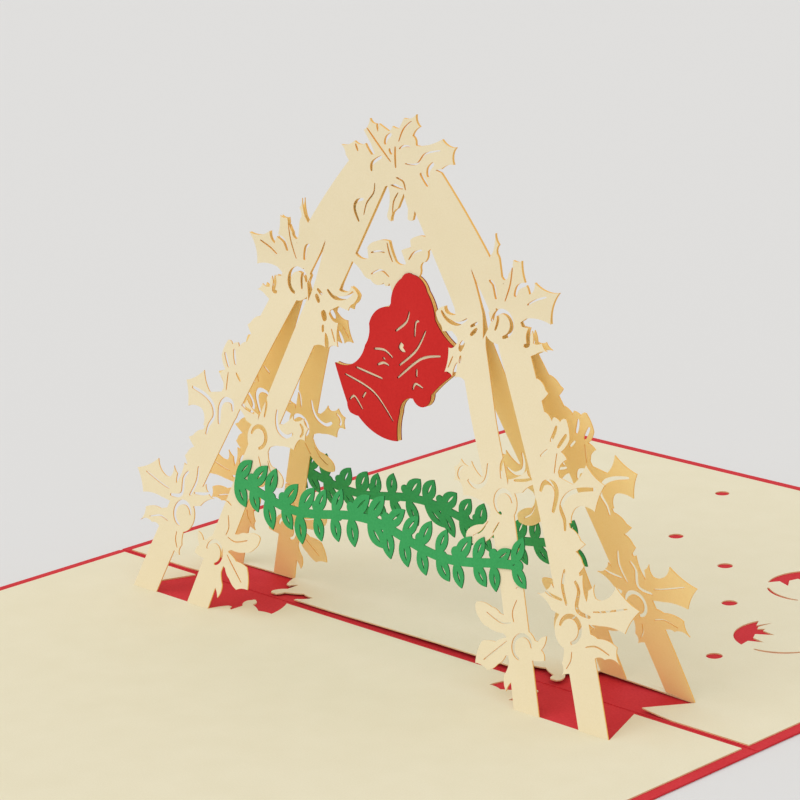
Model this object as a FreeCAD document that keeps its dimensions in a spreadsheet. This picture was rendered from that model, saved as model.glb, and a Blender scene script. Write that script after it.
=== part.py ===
import FreeCAD, Part
import math
import os

from FreeCAD import Vector
from Sketcher import Constraint

# Pop up card, laid open flat, in millimetres.
# A red folded cover carries two cream sheets, one on each half. Each sheet is a page
# with a pointed arch of holly cut from the same paper and folded up from it. The two
# arches meet back to back over the spine, hold a bell between them, and each wears a
# garland across its inner legs.
# X runs along the spine, Y across the open card and Z up. The origin is on the table,
# under the middle of the spine. The front half is the one towards -Y.

doc = FreeCAD.newDocument("PopUpCard")

# Driving dimensions

SIZES = {
    # Cover
    "CardLength": 203.6,
    "HalfDepth": 151.6,
    "CoverThickness": 0.4,
    "ScoreWidth": 1.0,
    "ScoreDepth": 0.15,
    # Pages
    "SheetThickness": 0.3,
    "SideMargin": 2.9,
    "OuterMargin": 3.3,
    "SpineGap": 2.4,
    "NotchTaper": 6.3,
    # Arch: reaches from the middle of the card, heights from the top of the page
    "FrontSetback": 15.9,
    "BackSetback": 12.1,
    "BendRadius": 60.0,
    "BendSteps": 3,
    "OuterFootOut": 76.6,
    "OuterFootIn": 68.3,
    "InnerFootOut": 57.0,
    "InnerFootIn": 49.6,
    "LegTop": 81.0,
    "LegBow": 1.5,
    "CrotchReach": 28.2,
    "CrotchWidth": 1.4,
    "CrotchTipReach": 22.6,
    "CrotchTipRise": 9.5,
    "BandInReach": 17.8,
    "ShoulderReach": 37.3,
    "CrownHeight": 113.8,
    "CrownWidth": 28.0,
    "CrownDrop": 3.2,
    "BandDepth": 7.3,
    # Holly
    "SprigSize": 1.0,
    "BerryRadius": 2.7,
    "CutWidth": 0.8,
    # Bell
    "BellTop": 86.6,
    "BendBelowBellTop": 1.3,
    "BellSize": 1.0,
    "BellCutWidth": 0.5,
    # Garland
    "GarlandThickness": 0.3,
    "GarlandReach": 45.0,
    "GarlandHeight": 30.4,
    "GarlandWave": 2.4,
    "VineWidth": 1.9,
    "GarlandLeafSpacing": 7.6,
    "GarlandLeafLength": 7.4,
    "GarlandLeafWidth": 4.0,
    # Cut outs of the back page
    "DotRadius": 1.9,
    "BaubleRadius": 11.4,
    "BaubleLineWidth": 0.8,
    # Turn of one chord of a round edge, in degrees
    "RoundStep": 38.0,
}

sheet = doc.addObject("Spreadsheet::Sheet", "Sizes")
for row, (alias, value) in enumerate(SIZES.items(), start=1):
    sheet.set(f"A{row}", alias)
    sheet.set(f"B{row}", str(value))
    sheet.setAlias(f"B{row}", alias)
doc.recompute()


def size(alias):
    return float(getattr(sheet, alias))


paper_thickness = size("SheetThickness")
page_bottom = size("CoverThickness")
page_top = page_bottom + paper_thickness


# Plane outlines, drawn in the XZ plane as the front half shows them

def at(x, z):
    return Vector(x, 0, z)


def polar(centre, radius, degrees):
    turn = math.radians(degrees)
    return centre + at(math.cos(turn), math.sin(turn)) * radius


def face_in(wire):
    """Face inside a wire, turned to look towards the front."""
    face = Part.Face(wire)
    if face.normalAt(0, 0).y > 0:
        turned = wire.copy()
        turned.reverse()
        face = Part.Face(turned)
    return face


def polygon(points):
    return face_in(Part.makePolygon(points + points[:1]))


def round_points(centre, radius, first, last):
    """Points on a circle from one angle to another, close enough to look round in paper."""
    steps = max(1, round(abs(last - first) / size("RoundStep")))
    return [polar(centre, radius, first + (last - first) * i / steps) for i in range(steps + 1)]


def bow_points(start, end, rise):
    """Points from start up to end, on an arc that bows to its left by rise."""
    if abs(rise) < 1e-6:
        return [start]
    run = end - start
    half = run.Length / 2
    swing = 2 * math.atan2(abs(rise), half)
    radius = half / math.sin(swing)
    left = Vector(-run.z, 0, run.x).normalize() * (1 if rise > 0 else -1)
    centre = (start + end) * 0.5 + left * (abs(rise) - radius)
    steps = max(2, round(2 * math.degrees(swing) / size("RoundStep")), round(half / 10))
    spots = []
    for i in range(steps):
        angle = swing * (2 * i / steps - 1)
        spots.append(centre + left * (radius * math.cos(angle))
                     + run * (radius * math.sin(angle) / run.Length))
    return spots


def outline(corners):
    """Face inside corners, each given as its point and the bow of the edge after it."""
    points = []
    for i, (point, rise) in enumerate(corners):
        points += bow_points(point, corners[(i + 1) % len(corners)][0], rise)
    return polygon(points)


def disc(centre, radius):
    return polygon(round_points(centre, radius, 0, 360)[:-1])


def mirrored(face):
    return face_in(face.mirror(Vector(0, 0, 0), Vector(1, 0, 0)).OuterWire)


def joined(faces):
    """One face from faces that overlap."""
    pieces = faces[0].multiFuse(faces[1:]).Faces
    return Part.makeShell(pieces).removeSplitter().Faces[0]


def strip(points, width):
    """Narrow strip of one width along points."""
    left, right = [], []
    for i, point in enumerate(points):
        run = points[min(i + 1, len(points) - 1)] - points[max(i - 1, 0)]
        side = Vector(-run.z, 0, run.x).normalize() * (width / 2)
        left.append(point + side)
        right.append(point - side)
    return polygon(left + right[::-1])


def ring_part(centre, radius, width, first, last):
    """Part of a ring, from one angle to another, in degrees."""
    return polygon(round_points(centre, radius + width / 2, first, last)
                   + round_points(centre, radius - width / 2, last, first))


# Holly

def holly_leaf(stem, tip, spread):
    """Leaf with three spines: two shoulders, spread from the midrib, and its tip."""
    run = tip - stem
    side = Vector(-run.z, 0, run.x).normalize() * spread
    shape = [(0.0, 0.32), (0.36, 0.42), (0.55, 1.0), (0.80, 0.30), (1.0, 0.0),
             (0.84, -0.34), (0.64, -0.95), (0.38, -0.40), (0.0, -0.32)]
    return polygon([stem + run * along + side * across for along, across in shape])


def blunt_leaf(root, end, width, droop):
    """Leaf like a strip, which bows to its left and ends in two corners."""
    run = end - root
    side = Vector(-run.z, 0, run.x).normalize()
    half = side * (width / 2)
    middle = root + run * 0.5 + side * droop
    return polygon([root + half, middle + half, end + half - run * 0.08,
                    end - half, middle - half, root - half])


class Sprig:
    """Holly sprig about its berry, drawn with its big leaf to the right."""

    def __init__(self, berry, scale, turn, flip=False, upper=1.0):
        self.berry = berry
        self.scale = scale * size("SprigSize")
        self.turn = turn
        self.side = -1 if flip else 1
        self.upper = upper

    def spot(self, across, up):
        """Point of the sprig, given from its berry as it is drawn."""
        turn = math.radians(self.turn)
        reach = across * math.cos(turn) - up * math.sin(turn)
        rise = across * math.sin(turn) + up * math.cos(turn)
        return self.berry + at(self.side * reach, rise) * self.scale

    def leaves(self):
        spot, left = self.spot, self.side * self.scale
        tall = self.upper
        return [
            holly_leaf(spot(2.0, 3.6), spot(18.6, 6.8), 5.2 * left),
            holly_leaf(spot(-2.0, 3.6), spot(-10.0, 6.8), -2.6 * left),
            blunt_leaf(spot(3.4, 3.4), spot(4.6 + tall, 3.4 + 8.2 * tall),
                       4.2 * self.scale * tall, 0.4 * left),
            blunt_leaf(spot(3.0, -3.0), spot(14.4, -5.6), 3.8 * self.scale, 1.6 * left),
            blunt_leaf(spot(1.0, -4.0), spot(-2.2, -10.6), 3.4 * self.scale, -0.8 * left),
            disc(self.berry, 4.5 * self.scale),
        ]

    def cuts(self):
        """Ring about the berry, a hooked cut and, on tall sprigs, a drop above it."""
        spot = self.spot
        width = size("CutWidth") * math.sqrt(self.scale)
        first, last = (-75, 190) if self.side > 0 else (-10, 255)
        lean = self.turn * self.side
        cuts = [
            ring_part(self.berry, size("BerryRadius") * self.scale, width,
                      first + lean, last + lean),
            strip([spot(0.2, 9.6), spot(1.7, 7.0), spot(0.8, 4.6)], width),
        ]
        if self.upper > 0.9:
            cuts.append(polygon([spot(-2.4, 12.6), spot(-3.4, 9.4), spot(-1.3, 5.0),
                                 spot(-0.9, 8.6)]))
        return cuts


# Arch

def leg_edge(foot, top, height):
    """Distance of one edge of a leg from the middle of the arch, at a height."""
    share = height / size("LegTop")
    return foot + (top - foot) * share + 4 * size("LegBow") * share * (1 - share)


crotch_out = size("CrotchReach") + size("CrotchWidth") / 2
crotch_in = size("CrotchReach") - size("CrotchWidth") / 2
crotch_tip = size("LegTop") + size("CrotchTipRise")
crown_side = size("CrownHeight") - size("CrownDrop")
crown_under = size("CrownHeight") - size("BandDepth")


def outer_leg(height):
    """Middle of the outer leg."""
    return (leg_edge(size("OuterFootIn"), crotch_out, height)
            + leg_edge(size("OuterFootOut"), size("ShoulderReach"), height)) / 2


def inner_leg(height):
    """Middle of the inner leg."""
    return (leg_edge(size("InnerFootIn"), size("BandInReach"), height)
            + leg_edge(size("InnerFootOut"), crotch_in, height)) / 2


def right_bands():
    """Bands of the right half of the arch: crown, shoulder and two legs."""
    bow, top = size("LegBow"), size("LegTop")
    return outline([
        (at(0, size("CrownHeight")), 0),
        (at(size("CrownWidth") / 2, crown_side), 0.9),
        (at(size("ShoulderReach"), top), bow),
        (at(size("OuterFootOut"), -paper_thickness), 0),
        (at(size("OuterFootIn"), -paper_thickness), -bow),
        (at(crotch_out, top), 0),
        (at(size("CrotchTipReach"), crotch_tip), 0),
        (at(crotch_in, top), bow),
        (at(size("InnerFootOut"), -paper_thickness), 0),
        (at(size("InnerFootIn"), -paper_thickness), -bow),
        (at(size("BandInReach"), top), 0),
        (at(3.2, crown_under - 1.0), 0),
        (at(0, crown_under), 0),
    ])


def right_sprigs():
    """Sprigs of the right half: shoulder, middle and foot of each leg."""
    return [
        Sprig(at(outer_leg(80.0) - 1.4, 80.0), 0.93, 8, upper=1.15),
        Sprig(at(inner_leg(76.5) + 2.6, 76.5), 0.84, -10, flip=True, upper=0.5),
        Sprig(at(outer_leg(47.3) + 0.2, 47.3), 0.92, -9, upper=1.25),
        Sprig(at(inner_leg(42.4) - 0.3, 42.4), 0.87, 0, flip=True),
        Sprig(at(outer_leg(19.7) - 1.9, 19.7), 1.0, 0),
        Sprig(at(inner_leg(13.3) + 0.9, 13.3), 0.92, 0, flip=True, upper=0.8),
    ]


def right_thorns():
    """Small thorns along the outer edge of the right outer leg."""
    thorns = []
    for height, reach in ((66.5, 3.0), (60.0, 2.0), (37.5, 4.6), (33.0, 2.0)):
        root = leg_edge(size("OuterFootOut"), size("ShoulderReach"), height) - 2.0
        thorns.append(polygon([at(root, height - 2.6), at(root + 2 + 0.6 * reach, height + 0.8),
                               at(root + 2 + 0.3 * reach, height + 1.4), at(root, height + 3.0)]))
    return thorns


def crown_spot(across, rise):
    return at(across, size("CrownHeight") + rise)


def crown_leaves():
    """Holly leaves about the crown, in one outline. Points are given from the crown's top."""
    corners = [(18.6, 2.9), (14.4, 4.2), (7.6, 1.9), (6.4, 2.2), (5.5, 3.7), (7.6, 6.2), (6.6, 8.8),
               (2.8, 7.6), (1.5, 5.2), (-2.0, 4.2), (-5.0, 5.4), (-7.8, 6.4), (-9.8, 3.6),
               (-8.6, 0.8), (-12.8, 0.8), (-17.0, -0.5), (-15.6, -2.6), (-12.0, -6.8),
               (-3.0, -7.3), (-1.8, -10.8), (-2.6, -14.4), (-1.6, -16.0), (0.6, -12.8),
               (2.2, -7.8), (3.8, -12.4), (3.6, -14.8), (5.2, -14.8), (6.0, -12.0), (6.0, -8.8),
               (14.0, -2.4), (17.8, -1.0)]
    return polygon([crown_spot(*corner) for corner in corners])


def crown_cuts():
    """Broad cuts of the crown's leaves."""
    lines = [[(-7.4, -5.4), (-7.2, -3.6), (-4.2, -1.7)], [(-3.2, 1.1), (-2.6, 2.6), (-1.1, 3.7)],
             [(10.0, -4.6), (10.2, -2.9), (11.8, -1.3)], [(7.6, -4.0), (9.9, -6.7)],
             [(-10.0, -12.0), (-12.6, -13.2), (-12.9, -14.2), (-11.6, -17.4)],
             [(0.0, 1.0), (0.0, -1.4), (0.1, -3.8)]]
    return [strip([crown_spot(*point) for point in line], size("CutWidth")) for line in lines]


def shoulder_spur():
    """Thin spur that stands up from the shoulder, given from the shoulder's corner."""
    corners = [(-8.9, 12.0), (-7.8, 14.0), (-7.3, 18.3), (-6.3, 16.0), (-7.0, 14.0), (-6.3, 12.5),
               (-5.8, 10.0), (-8.3, 8.0)]
    return polygon([at(size("ShoulderReach") + across, size("LegTop") + rise)
                    for across, rise in corners])


def arch_outline():
    """Outline of the whole arch, and the cuts that go through it."""
    faces = [right_bands(), shoulder_spur()] + right_thorns()
    cuts = []
    for sprig in right_sprigs():
        faces += sprig.leaves()
        cuts += sprig.cuts()
    faces += [mirrored(face) for face in faces]
    cuts += [mirrored(cut) for cut in cuts]
    return joined(faces + [crown_leaves()]), cuts + crown_cuts()


# Bell, with the leaves that it hangs from. Points are given from its top, downwards.

def bell_spot(across, down):
    return at(across, -down) * size("BellSize") + at(0, size("BellTop"))


def bell_outline(corners):
    return outline([(bell_spot(across, down), rise * size("BellSize"))
                    for across, down, rise in corners])


def bell_face():
    """Pair of bells with a common crown."""
    return bell_outline([
        (5.0, 0.0, -0.9), (8.4, 2.2, -0.5), (11.0, 8.4, 0.7), (17.4, 14.0, 0),
        (18.0, 14.6, 0), (16.0, 15.2, -0.3), (15.2, 21.0, 0), (17.6, 20.6, 0.4),
        (10.2, 26.2, -0.5), (8.4, 29.2, -0.9), (3.8, 28.4, 0.9), (-0.2, 32.4, 0.6),
        (-1.2, 39.2, -1.6), (-14.0, 35.6, 0), (-16.2, 35.0, -0.3), (-17.4, 32.4, 0),
        (-21.0, 24.2, 2.4), (-11.0, 18.4, 0.8), (-9.6, 13.2, -1.3), (-3.2, 8.4, 0),
        (-2.6, 7.4, -1.0), (0.6, 1.4, -0.6)])


def bridge_face():
    """Leaves between the bands of the arch, down to the crown of the bell."""
    return bell_outline([
        (-14.6, -3.6, 1.2), (-9.6, -1.8, 0), (-9.9, -4.0, 0), (-7.4, -5.8, 0),
        (-3.2, -6.6, 0), (-1.2, -2.6, 0.4), (2.0, -2.4, 0), (0.6, -5.0, 0),
        (3.6, -5.8, 0), (3.4, -8.0, 0), (7.0, -9.0, 0), (12.8, -9.8, 0),
        (12.6, -5.4, 0.8), (8.2, -3.8, 0.6), (6.6, -0.8, 0.6), (5.2, 0.6, 0),
        (5.0, 3.6, 0), (-2.0, 7.0, 0), (-2.8, 3.2, 0.8), (-4.6, 2.6, -1.2),
        (-9.2, 2.2, 0), (-12.0, 1.7, 0.8), (-17.6, -1.0, 0)])


def bell_cuts():
    """Lines cut through the red facing, which show the cream paper under it."""
    lines = [
        [(3.0, 9.0), (2.0, 11.8), (-1.2, 13.6)],
        [(6.2, 10.4), (4.9, 11.2), (4.6, 14.0)],
        [(8.0, 12.0), (4.9, 17.2), (-0.4, 21.4)],
        [(12.6, 17.2), (6.4, 19.0), (-1.0, 24.4)],
        [(-8.4, 18.6), (-4.8, 18.6), (-2.4, 19.6)],
        [(-7.2, 22.2), (-5.4, 21.4), (-3.6, 21.8)],
        [(-14.2, 24.0), (-5.8, 25.2)],
        [(-17.8, 26.2), (-8.8, 29.0), (-2.6, 34.4)],
        [(-16.4, 32.0), (-14.8, 31.0), (-12.4, 33.6)],
        [(-12.2, 30.6), (-11.2, 29.4)],
        [(5.2, 21.4), (5.0, 23.2)],
        [(3.8, 26.2), (5.0, 24.7), (7.0, 25.2)],
    ]
    width = size("BellCutWidth")
    cuts = [strip([bell_spot(*point) for point in line], width) for line in lines]
    eye = [(0.4, 15.8), (1.2, 16.2), (0.9, 16.9), (1.6, 17.8), (-0.2, 18.0), (-0.7, 16.6)]
    cuts.append(polygon([bell_spot(*point) for point in eye]))
    return cuts


# Garland

def vine_height(across):
    """Height of the vine: high in the middle and at its ends, low between them."""
    share = across / size("GarlandReach")
    return size("GarlandHeight") + size("GarlandWave") * math.cos(1.85 * math.pi * share)


def garland_leaf(root, degrees, length, width):
    """Pointed leaf, widest before its middle."""
    tip, middle = polar(root, length, degrees), polar(root, length * 0.45, degrees)
    side = polar(at(0, 0), width / 2, degrees + 90)
    return polygon([root, middle + side, tip, middle - side])


def garland_face():
    """Leafy vine in one outline."""
    reach, half = size("GarlandReach"), size("VineWidth") / 2
    length, width = size("GarlandLeafLength"), size("GarlandLeafWidth")
    spans = round(2 * reach / size("GarlandLeafSpacing"))
    stations = [reach * (2 * i / spans - 1) for i in range(spans + 1)]
    upper = [at(x, vine_height(x) + half) for x in stations]
    lower = [at(x, vine_height(x) - half) for x in reversed(stations)]
    faces = [polygon(upper + lower)]
    for i, x in enumerate(stations):
        lean = 30 if i % 2 else -30
        faces.append(garland_leaf(at(x, vine_height(x)), 90 + lean, length, width))
        faces.append(garland_leaf(at(x, vine_height(x)), lean - 90, length, width))
    return joined(faces)


# Bent paper

class BentWall:
    """Section of the front arch: a straight leg, a soft bend and an upright top."""

    def __init__(self, setback):
        self.radius = size("BendRadius")
        bend_height = page_top + size("BellTop") - size("BendBelowBellTop")
        self.centre = Vector(0, -self.radius, bend_height)
        to_foot = Vector(0, -setback, page_bottom) - self.centre
        self.tilt = -math.atan2(to_foot.z, to_foot.y) - math.acos(self.radius / to_foot.Length)

    def line_up(self, outset, low, high):
        """Points of the section at one outset from its inner face, from its foot to its top."""
        steps = int(size("BendSteps"))
        bend = []
        for i in range(steps + 1):
            angle = self.tilt * (1 - i / steps)
            reach = Vector(0, math.cos(angle), -math.sin(angle)) * (self.radius - outset)
            bend.append(self.centre + reach)
        knee = bend[0]
        foot = Vector(0, knee.y - (knee.z - low) * math.tan(self.tilt), low)
        return [foot] + bend + [Vector(0, -outset, high)]

    def between(self, near, far, low, high, reach):
        """Wall between two outsets and two heights, out to a reach on either side."""
        points = self.line_up(near, low, high) + self.line_up(far, low, high)[::-1]
        section = Part.Face(Part.makePolygon(points + points[:1]))
        section.translate(Vector(-reach, 0, 0))
        return section.extrude(Vector(2 * reach, 0, 0))


def bent(face, near, far, setback):
    """Paper of an outline between two outsets of a bent wall."""
    reach, high = size("CardLength") / 2, size("CrownHeight") + 30
    wall = BentWall(setback).between(near, far, page_bottom, high, reach)
    block = face.copy()
    block.translate(Vector(0, far, page_top))
    return block.extrude(Vector(0, -setback - 3 * far, 0)).common(wall)


def upright(face, near, far):
    """Paper of an outline that hangs in an upright plane."""
    block = face.copy()
    block.translate(Vector(0, -near, page_top))
    return block.extrude(Vector(0, near - far, 0))


def punch(face):
    """Tool that cuts an outline, laid on the ground, through a page."""
    tool = face.copy()
    tool.rotate(Vector(0, 0, 0), Vector(1, 0, 0), -90)
    tool.translate(Vector(0, 0, page_bottom + 2 * paper_thickness))
    return tool.extrude(Vector(0, 0, -3 * paper_thickness))


def to_back(solid):
    return solid.mirror(Vector(0, 0, 0), Vector(0, 1, 0))


# Pages

def foot_notches(setback):
    """Openings that the folded up feet leave in a page, up to the spine, as in front."""
    inner, outer, fold = size("InnerFootIn"), size("OuterFootOut"), -setback
    # Wavy inner edge, given from the inner foot: how far inwards, and how far from the fold.
    wave = [(0, 0), (2.1, 4.5), (3.2, 4.7), (4.7, 3.0), (4.8, 6.7), (3.0, 9.1), (3.4, 10.8),
            (4.6, 11.2), (6.0, 8.8), (10.4, 6.6), (14.3, 7.2), (12.0, 12.1)]
    points = [at(inner - inwards, fold + back) for inwards, back in wave]
    points += [at(inner - 10.8, 0), at(outer - size("NotchTaper"), 0), at(outer, fold)]
    opening = polygon(points)
    return [punch(opening), punch(mirrored(opening))]


def bauble(centre, turn):
    """Bauble as light shows it: a crescent with three rays, and a line opposite."""
    radius = size("BaubleRadius")
    rays = [(0.78, -117), (0.56, -95), (0.62, -128), (0.57, -149), (0.18, -151), (0.49, -176),
            (0.53, 171), (0.65, -178), (0.71, 173), (0.78, 144), (0.80, 171)]
    points = round_points(centre, radius, 158 + turn, 252 + turn)
    points += [polar(centre, radius * share, angle + turn) for share, angle in rays]
    line = ring_part(centre, radius, size("BaubleLineWidth"), turn - 88, turn - 28)
    return [polygon(points), line]


def page_spot(along, deep):
    """Point of a page, as shares of half its length and of its depth from the spine."""
    return at(along * size("CardLength") / 2, deep * size("HalfDepth"))


def back_page_cuts():
    """Dots and baubles that are cut out of the back page."""
    dots = [(-0.158, 0.881), (-0.021, 0.646), (0.215, 0.580), (0.392, 0.445), (0.588, 0.247)]
    faces = [disc(page_spot(*dot), size("DotRadius")) for dot in dots]
    faces += bauble(page_spot(0.623, 0.383), 0)
    faces += bauble(page_spot(0.468, 0.595), -45)
    return [punch(face) for face in faces]


# Document objects

def sized(item, **expressions):
    """Binds properties of an object to the sheet."""
    for prop, expression in expressions.items():
        item.setExpression(prop.replace("_", "."), expression)
    return item


def shape_of(label, shape):
    item = doc.addObject("Part::Feature", label)
    item.Label = label
    item.Shape = shape
    return item


def cover():
    """Red cover: one folded piece, scored along its spine."""
    body = doc.addObject("PartDesign::Body", "cover")
    body.Label = "cover"
    plane = [item for item in body.Origin.OriginFeatures if item.Role == "XY_Plane"][0]

    def rectangle(name, length, width):
        sketch = body.newObject("Sketcher::SketchObject", name)
        sketch.AttachmentSupport = (plane, "")
        sketch.MapMode = "FlatFace"
        corners = [Vector(-1, -1, 0), Vector(1, -1, 0), Vector(1, 1, 0), Vector(-1, 1, 0)]
        for i in range(4):
            sketch.addGeometry(Part.LineSegment(corners[i], corners[(i + 1) % 4]))
        for i in range(4):
            sketch.addConstraint(Constraint("Coincident", i, 2, (i + 1) % 4, 1))
        for i, kind in enumerate(("Horizontal", "Vertical", "Horizontal", "Vertical")):
            sketch.addConstraint(Constraint(kind, i))
        sketch.addConstraint(Constraint("Symmetric", 0, 1, 1, 2, -1, 1))
        for edge, kind, expression in ((0, "DistanceX", length), (1, "DistanceY", width)):
            index = sketch.addConstraint(Constraint(kind, edge, 1, edge, 2, 2.0))
            sketch.setExpression(f"Constraints[{index}]", expression)
        return sketch

    blank = body.newObject("PartDesign::Pad", "Blank")
    blank.Profile = rectangle("BlankOutline", "Sizes.CardLength", "2 * Sizes.HalfDepth")
    sized(blank, Length="Sizes.CoverThickness")
    groove = rectangle("ScoreOutline", "Sizes.CardLength + 2", "Sizes.ScoreWidth")
    sized(groove, AttachmentOffset_Base_z="Sizes.CoverThickness")
    score = body.newObject("PartDesign::Pocket", "Score")
    score.Profile = groove
    sized(score, Length="Sizes.ScoreDepth")
    body.Tip = score
    return body


def page(name, side):
    """Blank page of one half, side being -1 in front and 1 at the back."""
    box = doc.addObject("Part::Box", name)
    start = ("Sizes.SpineGap / 2" if side > 0 else "Sizes.OuterMargin - Sizes.HalfDepth")
    return sized(box, Length="Sizes.CardLength - 2 * Sizes.SideMargin",
                 Width="Sizes.HalfDepth - Sizes.OuterMargin - Sizes.SpineGap / 2",
                 Height="Sizes.SheetThickness",
                 Placement_Base_x="Sizes.SideMargin - Sizes.CardLength / 2",
                 Placement_Base_y=start,
                 Placement_Base_z="Sizes.CoverThickness")


def leaf(label, blank, cuts, arch, core):
    """Cream sheet of one half: its cut page, the arch folded up from it and the bell core."""
    cut_page = doc.addObject("Part::Cut", label + "_page")
    cut_page.Base = blank
    cut_page.Tool = shape_of(label + "_cuts", Part.makeCompound(cuts))
    whole = doc.addObject("Part::MultiFuse", label)
    whole.Label = label
    whole.Shapes = [cut_page, shape_of(label + "_arch", arch), shape_of(label + "_core", core)]
    whole.Refine = True
    return whole


arch, arch_cuts = arch_outline()
arch_face = arch.cut(arch_cuts)
front_setback, back_setback = size("FrontSetback"), size("BackSetback")
bell = bell_face()
core_paper = upright(joined([bell, bridge_face()]), 0, paper_thickness)
facing_paper = upright(bell.cut(bell_cuts()), paper_thickness, 2 * paper_thickness)
garland = garland_face()
garland_outset = paper_thickness + size("GarlandThickness")

parts = [
    cover(),
    leaf("front_leaf", page("front_blank", -1), foot_notches(front_setback),
         bent(arch_face, 0, paper_thickness, front_setback), core_paper),
    leaf("back_leaf", page("back_blank", 1),
         [to_back(tool) for tool in foot_notches(back_setback)] + back_page_cuts(),
         to_back(bent(arch_face, 0, paper_thickness, back_setback)), to_back(core_paper)),
    shape_of("front_bell", facing_paper),
    shape_of("back_bell", to_back(facing_paper)),
    shape_of("front_garland", bent(garland, paper_thickness, garland_outset, front_setback)),
    shape_of("back_garland", to_back(bent(garland, paper_thickness, garland_outset, back_setback))),
]
doc.recompute()

# Checks and export

for item in doc.Objects:
    for state in ("Invalid", "Error"):
        if state in item.State:
            raise RuntimeError(f"{item.Label} is {state}")

os.makedirs("parts", exist_ok=True)
for item in parts:
    shape = item.Shape
    if shape.isNull() or not shape.isValid():
        raise RuntimeError(f"{item.Label} has no valid shape")
    if len(shape.Solids) != 1:
        print(item.Label, "has", len(shape.Solids), "solids")
    print(item.Label, "volume", round(shape.Volume, 1), "mm3")
    shape.exportStep(f"parts/{item.Label}.step")
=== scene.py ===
"""Pop up card, laid open flat: cream leaves with a holly arch, red bell, green garland."""

import math

import bmesh
import bpy
from mathutils import Matrix, Vector
from mathutils.geometry import delaunay_2d_cdt


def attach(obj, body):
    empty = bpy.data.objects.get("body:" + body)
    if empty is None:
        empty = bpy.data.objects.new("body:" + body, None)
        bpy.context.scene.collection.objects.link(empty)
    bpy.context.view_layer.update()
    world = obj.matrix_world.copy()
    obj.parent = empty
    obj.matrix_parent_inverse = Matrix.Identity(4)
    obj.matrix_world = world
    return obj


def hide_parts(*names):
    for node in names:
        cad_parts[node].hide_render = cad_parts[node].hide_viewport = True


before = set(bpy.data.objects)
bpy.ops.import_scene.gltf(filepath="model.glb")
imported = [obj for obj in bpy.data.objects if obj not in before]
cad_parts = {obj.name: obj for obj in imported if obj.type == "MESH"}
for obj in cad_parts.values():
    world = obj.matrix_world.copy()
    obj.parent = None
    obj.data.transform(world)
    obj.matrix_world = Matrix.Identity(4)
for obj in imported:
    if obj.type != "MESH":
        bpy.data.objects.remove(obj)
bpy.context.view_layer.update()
MM = 0.001

# Camera, fitted to the page corners of the photograph

PHOTO_SIZE = 800
FOCAL_PIXELS = 3066.3
SENSOR = 36.0
CAMERA_TURN = 45.39
CAMERA_TILT = 15.508
CAMERA_ROLL = -1.528
CAMERA_DISTANCE = 901.0
CAMERA_TARGET = Vector((-146.2, 144.0, 0.7))


def place_camera():
    turn, tilt, roll = (math.radians(a) for a in (CAMERA_TURN, CAMERA_TILT, CAMERA_ROLL))
    back = Vector((math.sin(turn) * math.cos(tilt), -math.cos(turn) * math.cos(tilt), math.sin(tilt)))
    level = Vector((math.cos(turn), math.sin(turn), 0))
    upward = back.cross(level)
    right = level * math.cos(roll) + upward * math.sin(roll)
    up = upward * math.cos(roll) - level * math.sin(roll)
    data = bpy.data.cameras.new("camera")
    data.sensor_width = SENSOR
    data.lens = FOCAL_PIXELS / PHOTO_SIZE * SENSOR
    data.clip_start = 0.01
    data.clip_end = 20
    camera = bpy.data.objects.new("camera", data)
    axes = Matrix((right, up, back)).transposed().to_4x4()
    camera.matrix_world = Matrix.Translation((CAMERA_TARGET + back * CAMERA_DISTANCE) * MM) @ axes
    bpy.context.scene.collection.objects.link(camera)
    bpy.context.scene.camera = camera


# Node maths

class Value:
    """Value in a node tree, with the usual operators."""

    def __init__(self, tree, socket):
        self.tree = tree
        self.socket = socket

    def __getitem__(self, name):
        """Another output of the same node."""
        return Value(self.tree, self.socket.node.outputs[name])

    def maths(self, operation, *others):
        return self.tree.node("ShaderNodeMath", [self, *others], operation=operation)

    def __add__(self, other):
        return self.maths("ADD", other)

    def __sub__(self, other):
        return self.maths("SUBTRACT", other)

    def __mul__(self, other):
        return self.maths("MULTIPLY", other)

    def __truediv__(self, other):
        return self.maths("DIVIDE", other)

    def __mod__(self, other):
        return self.maths("MODULO", other)

    def __abs__(self):
        return self.maths("ABSOLUTE")

    def cosine(self):
        return self.maths("COSINE")

    def below(self, limit):
        return self.maths("LESS_THAN", limit)

    def between(self, low, high):
        """0 below low, 1 above high, smooth between."""
        return self.tree.node("ShaderNodeMapRange", {"Value": self, "From Min": low, "From Max": high},
                              interpolation_type="SMOOTHSTEP", out="Result")


class Tree:
    """Node tree that is written as expressions."""

    def __init__(self, group):
        self.nodes = group.nodes
        self.links = group.links

    def feed(self, socket, value):
        if isinstance(value, Value):
            self.links.new(value.socket, socket)
        elif socket.type == "RGBA":
            socket.default_value = (*value, 1)
        else:
            socket.default_value = value

    def node(self, kind, values=(), out=0, **settings):
        made = self.nodes.new(kind)
        for name, setting in settings.items():
            setattr(made, name, setting)
        pairs = values.items() if isinstance(values, dict) else enumerate(values)
        for key, value in pairs:
            self.feed(made.inputs[key], value)
        return Value(self, made.outputs[out])


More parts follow.
